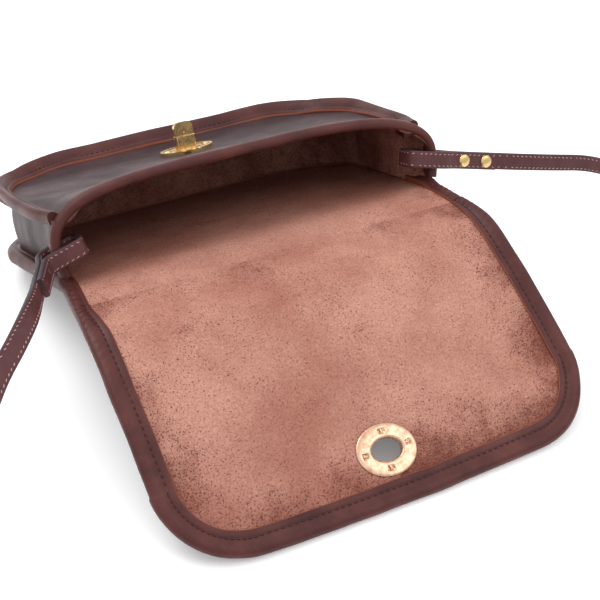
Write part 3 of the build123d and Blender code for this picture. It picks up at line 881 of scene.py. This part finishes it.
height = seam[:, 1] + 0.9 + 0.3 * wander(front_far, 60, 32)[:, None]
raw = smooth_step((seam[:, 0] - 8.2) / 0.25) * (seam[:, 1] > 0.1)
front_binding = carried(
    "front_binding_roll", seam_point(x, y, height, seam[:, 0]), [binding_leather],
    {"edge": np.tile(raw, (len(front_line), 1))},
)


front_thread = edge_stitches("front_thread", front_line, front_in, 6.3, 2.15, seam_point)
for piece in (front_binding, front_thread):
    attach(piece, "bag_body")
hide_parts("front_seam_binding")

# ---- Gusset
# One long strip of leather between the two seams. Its edges turn outwards into the bindings,
# and between them it bellies out, most of all at the mouth.
wall_line = spaced(body_edge_line(4.8), 1.2)
wall_in = facing_in(wall_line)
wall_far = distance_along(wall_line)
share = np.linspace(0, 1, 44)
at_mouth = (1 - smooth_step((wall_line[:, 1] - 5) / 30))[:, None]
on_left = (wall_line[:, :1] < 0) * 1.0
flange = smooth_step(share / 0.16) * smooth_step((1 - share) / 0.16)
belly = np.sin(math.pi * np.clip((share - 0.1) / 0.8, 0, 1))
depth_in = (8.4 - 4.6 * at_mouth) * flange + 1.4 - (1.5 + (5.1 - 4.4 * on_left) * at_mouth) * belly
drawn = np.clip(wall_line[:, :1] / 60, -1, 1) * mouth_draw(wall_line[:, 1:]) * smooth_step(share * 2 - 1)
depth_in = depth_in + 0.5 * belly * wander(wall_far, 34, 41)[:, None]
seam_high = seam_level(wall_line[:, 1:])
wall_high = 1.0 + (seam_high - 3.0) * smooth_step((share - 0.06) / 0.88)
stand = 7.0 * (0.3 + 0.5 * smooth_step((wall_line[:, 1:] - 50) / 60))
wall_high = wall_high + stand * smooth_step((share - 0.84) / 0.16)
wall_way = np.stack([np.gradient(wall_high, axis=1), np.gradient(depth_in, axis=1)], -1)
wall_way = unit(wall_way)


def wall_face(offset):
    """One face of the gusset: its middle moved square to its own profile."""
    depth = depth_in + offset * wall_way[..., 0]
    high = wall_high - offset * wall_way[..., 1]
    return body_point(
        wall_line[:, :1] + wall_in[:, :1] * depth - drawn, wall_line[:, 1:] + wall_in[:, 1:] * depth, high
    )


# The 'shade' mark of 0.6 on the gusset's suede inner face is painted shade inside the compartment.
inside_shade = {"shade": np.full(depth_in.shape, 0.6)}
gusset_wall = shell(
    "gusset_wall", wall_face(-1.0), wall_face(1.0), [panel_leather, suede, raw_edge], marks=inside_shade
)
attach(gusset_wall, "bag_body")
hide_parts("gusset")

# ---- Rim of the mouth
# A wider soft strip is folded over the front panel's and the gusset's edge all round the
# mouth and sewn through, so the mouth has a thick rolled lip.
across = np.linspace(-1, 1, 400)
x = np.where(across > 0, 109.5, 105.0) * np.sin(across * math.pi / 2)
top = np.stack([x, arch_height(x)], 1)
foot = np.linspace(3.4, 17.0, 20)[:-1]
left_foot = np.stack([-105.0 + 3.0 * (1 - foot / 17) ** 2, foot], 1)
right_foot = np.stack([109.5 - 3.0 * (1 - foot / 17) ** 2, foot], 1)
rim_line = spaced(np.vstack([left_foot, top, right_foot[::-1]]), 1.0)
rim_out = -inward(rim_line)
if (rim_out[len(rim_out) // 2] @ [0, 1]) < 0:
    rim_out = -rim_out
rim_far = distance_along(rim_line)
lip = np.array([
    (9.3, 1.05), (9.3, 2.0), (9.0, 2.25), (8.0, 2.35), (7.1, 2.3), (6.6, 2.0), (6.1, 2.3),
    (5.0, 2.75), (3.6, 2.9),
    (2.2, 2.7), (1.0, 2.1), (0.2, 1.1), (0.0, 0.0), (0.2, -1.1), (1.0, -2.1), (2.2, -2.7),
    (3.6, -2.8), (5.0, -2.6),
    (6.6, -2.1), (8.0, -2.35), (9.0, -2.2), (9.3, -1.9), (9.3, -1.05), (5.0, -1.05), (2.0, -1.0),
    (1.5, -0.5), (1.5, 0.5),
    (2.0, 1.0), (5.0, 1.05),
])
lip = rounded_profile(lip, 3)
full = 1 + 0.07 * wander(rim_far, 55, 51)[:, None]
rim_y = mouth_setback + lip[:, 0] + 0.5 * wander(rim_far, 70, 52)[:, None]
x = rim_line[:, :1] + rim_out[:, :1] * lip[:, 1] * full
z = rim_line[:, 1:] + rim_out[:, 1:] * lip[:, 1] * full
raw = smooth_step((lip[:, 0] - 9.15) / 0.1)
mouth_rim = carried(
    "mouth_rim", body_point(x, rim_y, z), [binding_leather], {"edge": np.tile(raw, (len(rim_line), 1))}
)
spots = spaced(np.hstack([rim_line, rim_out]), stitch_gap)
rows = [(spots[:, :2] + spots[:, 2:] * 2.1, 1), (spots[:, :2] - spots[:, 2:] * 2.1, -1)]
centre = np.vstack([body_point(at[:, 0], 10.1, at[:, 1]) for at, side in rows])
way = np.vstack([unit(np.gradient(body_point(at[:, 0], 10.1, at[:, 1]), axis=0)) for at, side in rows])
up = np.vstack([unit(body_direction(spots[:, 2] * side, 0, spots[:, 3] * side)) for at, side in rows])
rim_thread = stitches("rim_thread", centre, way, up, *dark_stitch, dark_thread)
for piece in (mouth_rim, rim_thread):
    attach(piece, "bag_body")
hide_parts("mouth_binding")

# ---- Turn lock and rivets
# Pressed and polished brass with worn edges: an oval plate riveted to the panel, a fixed
# block, and the tab that turns on it. The rivet caps of the strap are the same metal.
metal_wear = bpy.data.node_groups.new("metal_wear", "ShaderNodeTree")
for socket_name, kind, direction in (
    ("Bright", "NodeSocketColor", "INPUT"), ("Dull", "NodeSocketColor", "INPUT"),
    ("Colour", "NodeSocketColor", "OUTPUT"),
    ("Roughness", "NodeSocketFloat", "OUTPUT"), ("Height", "NodeSocketFloat", "OUTPUT"),
):
    metal_wear.interface.new_socket(socket_name, in_out=direction, socket_type=kind)
wear_in = add_node(metal_wear, "NodeGroupInput")
place = add_node(metal_wear, "TexCoord").outputs["Object"]
smear = add_node(
    metal_wear, "TexNoise", {"Vector": place, "Scale": 330.0, "Detail": 5.0, "Roughness": 0.65}
)
tarnish = add_node(metal_wear, "MapRange", {"Value": smear.outputs[0], "From Min": 0.42, "From Max": 0.7})
shade = add_node(
    metal_wear, "MixRGB",
    {"Fac": tarnish.outputs[0], "Color1": wear_in.outputs["Bright"], "Color2": wear_in.outputs["Dull"]},
)
rub = add_node(metal_wear, "MapRange", {"Value": tarnish.outputs[0], "To Min": 0.18, "To Max": 0.42})
scratch = add_node(metal_wear, "TexNoise", {"Vector": place, "Scale": 1900.0, "Detail": 3.0})
add_node(
    metal_wear, "NodeGroupOutput",
    {"Colour": shade.outputs[0], "Roughness": rub.outputs[0], "Height": scratch.outputs[0]},
)


def plated(name, bright, dull):
    """Polished plate with tarnish in patches and fine scratches."""
    material, tree, shader = new_material(name)
    wear = add_node(tree, "Group", node_tree=metal_wear)
    wear.inputs["Bright"].default_value = linear(*bright)
    wear.inputs["Dull"].default_value = linear(*dull)
    tree.links.new(wear.outputs["Colour"], shader.inputs["Base Color"])
    tree.links.new(wear.outputs["Roughness"], shader.inputs["Roughness"])
    bump = add_node(tree, "Bump", {"Height": wear.outputs["Height"], "Distance": 0.00004, "Strength": 0.4})
    tree.links.new(bump.outputs[0], shader.inputs["Normal"])
    shader.inputs["Metallic"].default_value = 1.0
    return material


brass = plated("brass", (232, 204, 148), (196, 158, 98))
rose_brass = plated("rose_brass", (222, 184, 156), (190, 146, 118))
lock_nodes = [
    "lock_base_plate", "lock_back_washer", "lock_rivets", "lock_post", "lock_stem", "lock_retaining_ring",
    "lock_tab", "lock_tab_pin",
]
rivet_nodes = ["strap_rivets_left", "strap_rivets_right"]
for node_name in lock_nodes + rivet_nodes:
    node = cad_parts[node_name]
    for slot in node.material_slots:
        slot.material = brass
    weld = node.modifiers.new("weld", "WELD")
    weld.merge_threshold = 0.000005

# The caps of the strap's rivets are low domes, turned from one profile of radius and height.
dome = np.array(
    [(3.5, 0.0), (3.5, 0.25), (3.42, 0.5), (3.1, 0.85), (2.5, 1.08), (1.7, 1.22), (0.8, 1.3), (0.12, 1.32)]
)
turn = np.linspace(0, 2 * math.pi, 40, endpoint=False)[:, None]
dome_points = len(turn) * len(dome)
rivet_pitch, lap_middle, half_lap = 14.5, 1.45, 2.85
right_spots = [(30.525, 6.85, 0.0), (30.525 + rivet_pitch, 6.85, 0.0)]
left_spots = [(*forward_leg(rivet_pitch * count, lap_middle), 90.0 - 20.0) for count in (0.64, 1.64)]
for name, spots, side in (("right", right_spots, 1), ("left", left_spots, -1)):
    caps = []
    start = rim_right if side > 0 else rim_left
    for out, along, heading in spots:
        heading = math.radians(heading)
        middle = body_point(start + side * out * math.cos(dip), along, strap_height - out * math.sin(dip))
        ahead = body_direction(
            side * math.cos(heading) * math.cos(dip), -math.sin(heading), -math.cos(heading) * math.sin(dip)
        )
        ahead = unit(np.ravel(ahead))
        up = np.ravel(right_up if side > 0 else left_up)
        facing = np.cross(ahead, up) * -side
        facing = facing if heading or facing[1] < 0 else -facing
        rings = ahead * np.cos(turn)[..., None] + up * np.sin(turn)[..., None]
        caps.append(middle + (rings * dome[:, :1] + facing * (dome[:, 1:] + half_lap)) * 1e-3)
    walls = [quads(len(turn), len(dome), round_rows=True) + dome_points * number for number in (0, 1)]
    ends = [(np.arange(len(turn)) * len(dome) + dome_points * number + edge)[::way].tolist()
            for number in (0, 1) for edge, way in ((0, 1), (len(dome) - 1, -1))]
    rivet_domes = new_piece(f"rivet_domes_{name}", caps, np.vstack(walls), [brass], ends)
    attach(rivet_domes, "bag_body")
    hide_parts(f"strap_rivet_caps_{name}")

# ---- Eyelet
# Two oval plates, one on each face of the flap. The outer one's collar lines the hole, and its
# four prongs are bent down through windows in the plate on the suede.
def oval_face(reach, turn, lift):
    """Points of an oval ring on the sheet: reach 0 is the opening's edge and 1 the outer edge."""
    wide = 8.0 + 7.2 * reach
    tall = 5.8 + 6.7 * reach
    return sheet_point(eyelet_x + wide * np.cos(turn), eyelet_at + tall * np.sin(turn), lift)


turn = np.linspace(0, 2 * math.pi, 192, endpoint=False)[:, None]
ring = rounded_profile(np.array([
    (1.0, 0.1), (0.985, 0.45), (0.9, 0.8), (0.65, 1.05), (0.4, 1.12), (0.2, 1.25), (0.08, 1.2),
    (0.0, 0.8), (0.0, 0.1), (0.5, 0.1),
]), 3)
windows = np.radians([0.0, 85.0, 180.0, 260.0])
apart = np.abs((turn[..., None] - windows + math.pi) % (2 * math.pi) - math.pi).min(-1)
sunk = (
    (1 - smooth_step((apart - 0.13) / 0.03)) * np.exp(-(((ring[:, 0] - 0.45) / 0.17) ** 4))
    * (ring[:, 1] > 0.5)
)
backing = oval_face(ring[:, 0], turn, ring[:, 1] - 0.85 * sunk)
faces = quads(len(turn), len(ring), round_rows=True, round_columns=True)
eyelet_backing = new_piece("eyelet_backing", backing, faces, [rose_brass])
spot = oval_face(0.42, windows, 0.85)
way = unit(oval_face(0.60, windows, 0.85) - oval_face(0.25, windows, 0.85))
above = unit(oval_face(0.42, windows, 2.0) - spot)
eyelet_prongs = stitches("eyelet_prongs", spot, way, above, 0.0032, 0.0015, rose_brass)
outer = rounded_profile(np.array([
    (1.0, -2.05), (0.985, -2.5), (0.85, -2.95), (0.4, -3.1), (0.12, -3.2), (-0.02, -2.9),
    (-0.03, -1.0), (-0.03, 1.0), (0.04, 1.0), (0.05, -2.05),
]), 3)
faces = quads(len(turn), len(outer), round_rows=True, round_columns=True)
eyelet_face = new_piece("eyelet_face", oval_face(outer[:, 0], turn, outer[:, 1]), faces, [rose_brass])
for piece in (eyelet_backing, eyelet_prongs, eyelet_face):
    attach(piece, "flap_front")
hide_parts("eyelet_backing_plate")
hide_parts("eyelet_face_plate")
